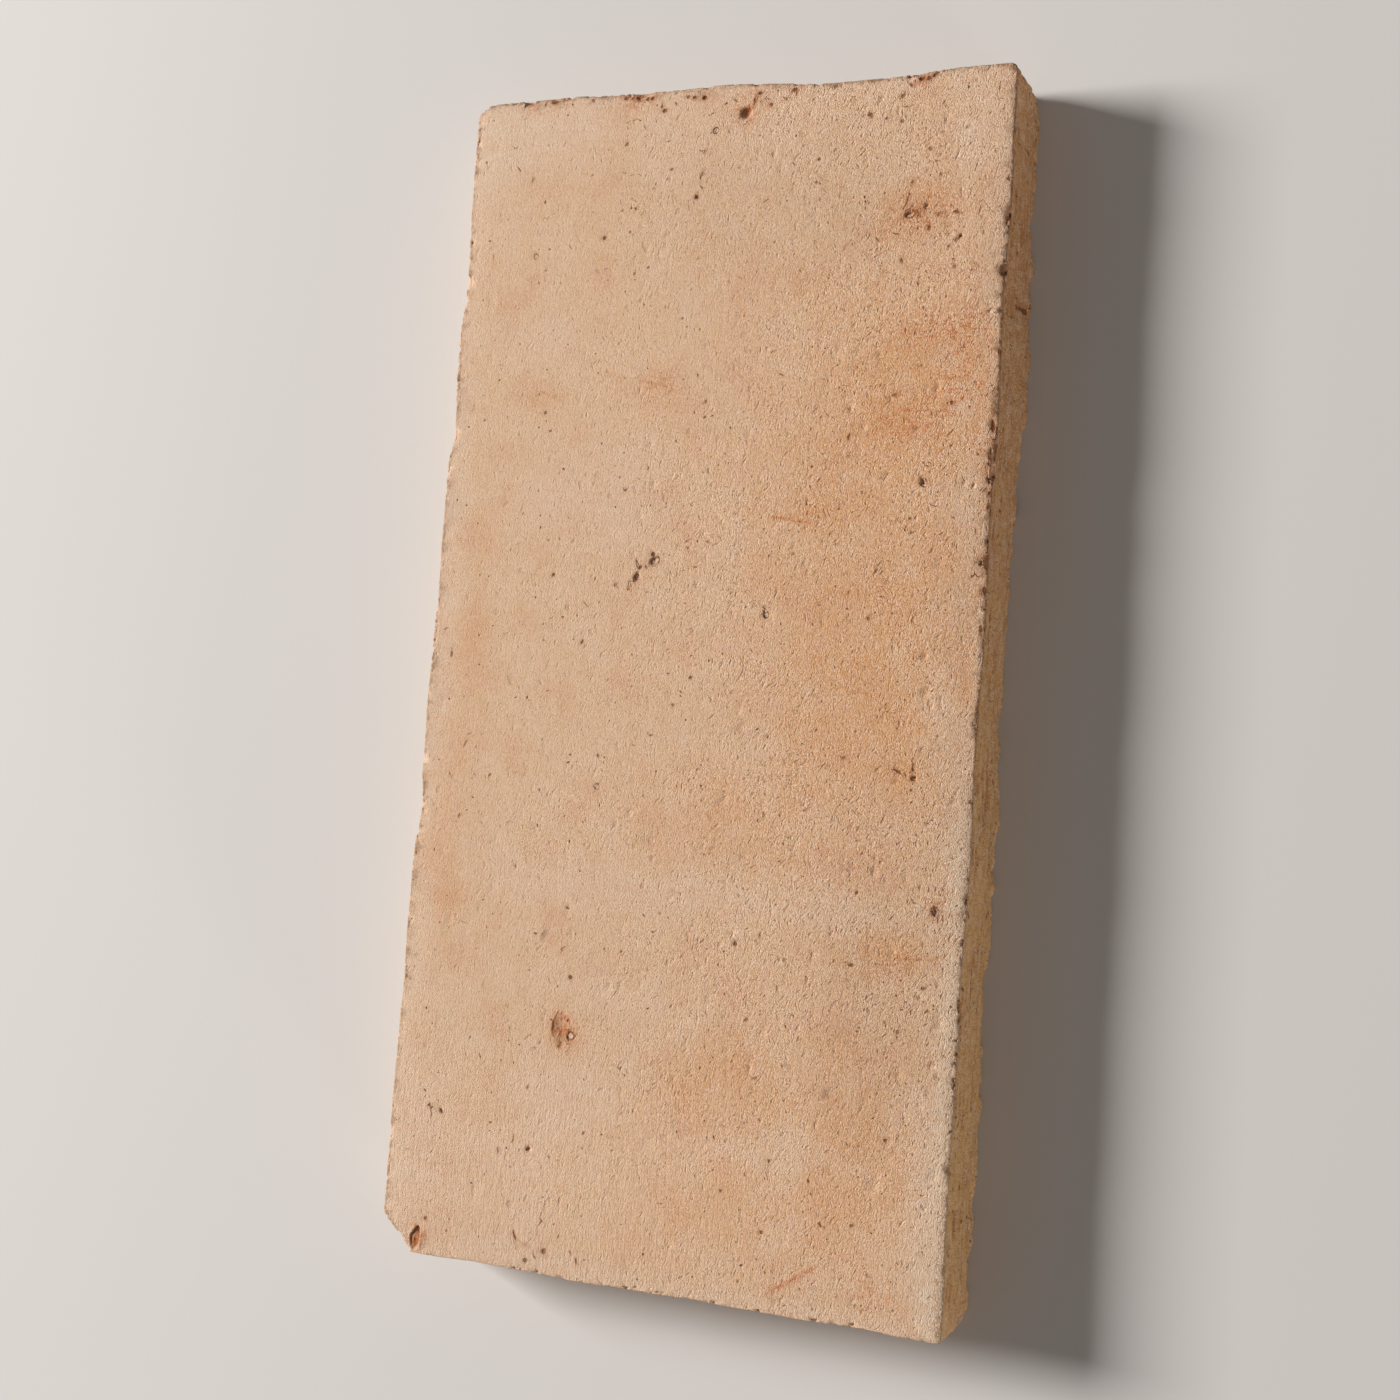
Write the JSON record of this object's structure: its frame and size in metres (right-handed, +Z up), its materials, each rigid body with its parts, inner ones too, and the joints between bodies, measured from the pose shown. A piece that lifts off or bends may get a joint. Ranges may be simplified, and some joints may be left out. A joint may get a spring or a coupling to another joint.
{
  "type": "floor tile",
  "caption": "Handmade rectangular terracotta floor tile with wandering cut sides, worn arrises, a broken corner, chips and sand pits.",
  "frame": {"origin": "middle of the slab's bounding rectangle, on the plane of the bed face", "axes": "+X across the slab's width, +Y along its length, +Z up out of the walking face"},
  "size_m": [0.152, 0.3006, 0.022],
  "materials": {
    "fired_clay": "matt, sandy fired clay: pinkish buff, paler at the rims, with orange patches and red-brown chips"
  },
  "bodies": {
    "root": {"tile": "fired_clay"}
  },
  "joints": []
}
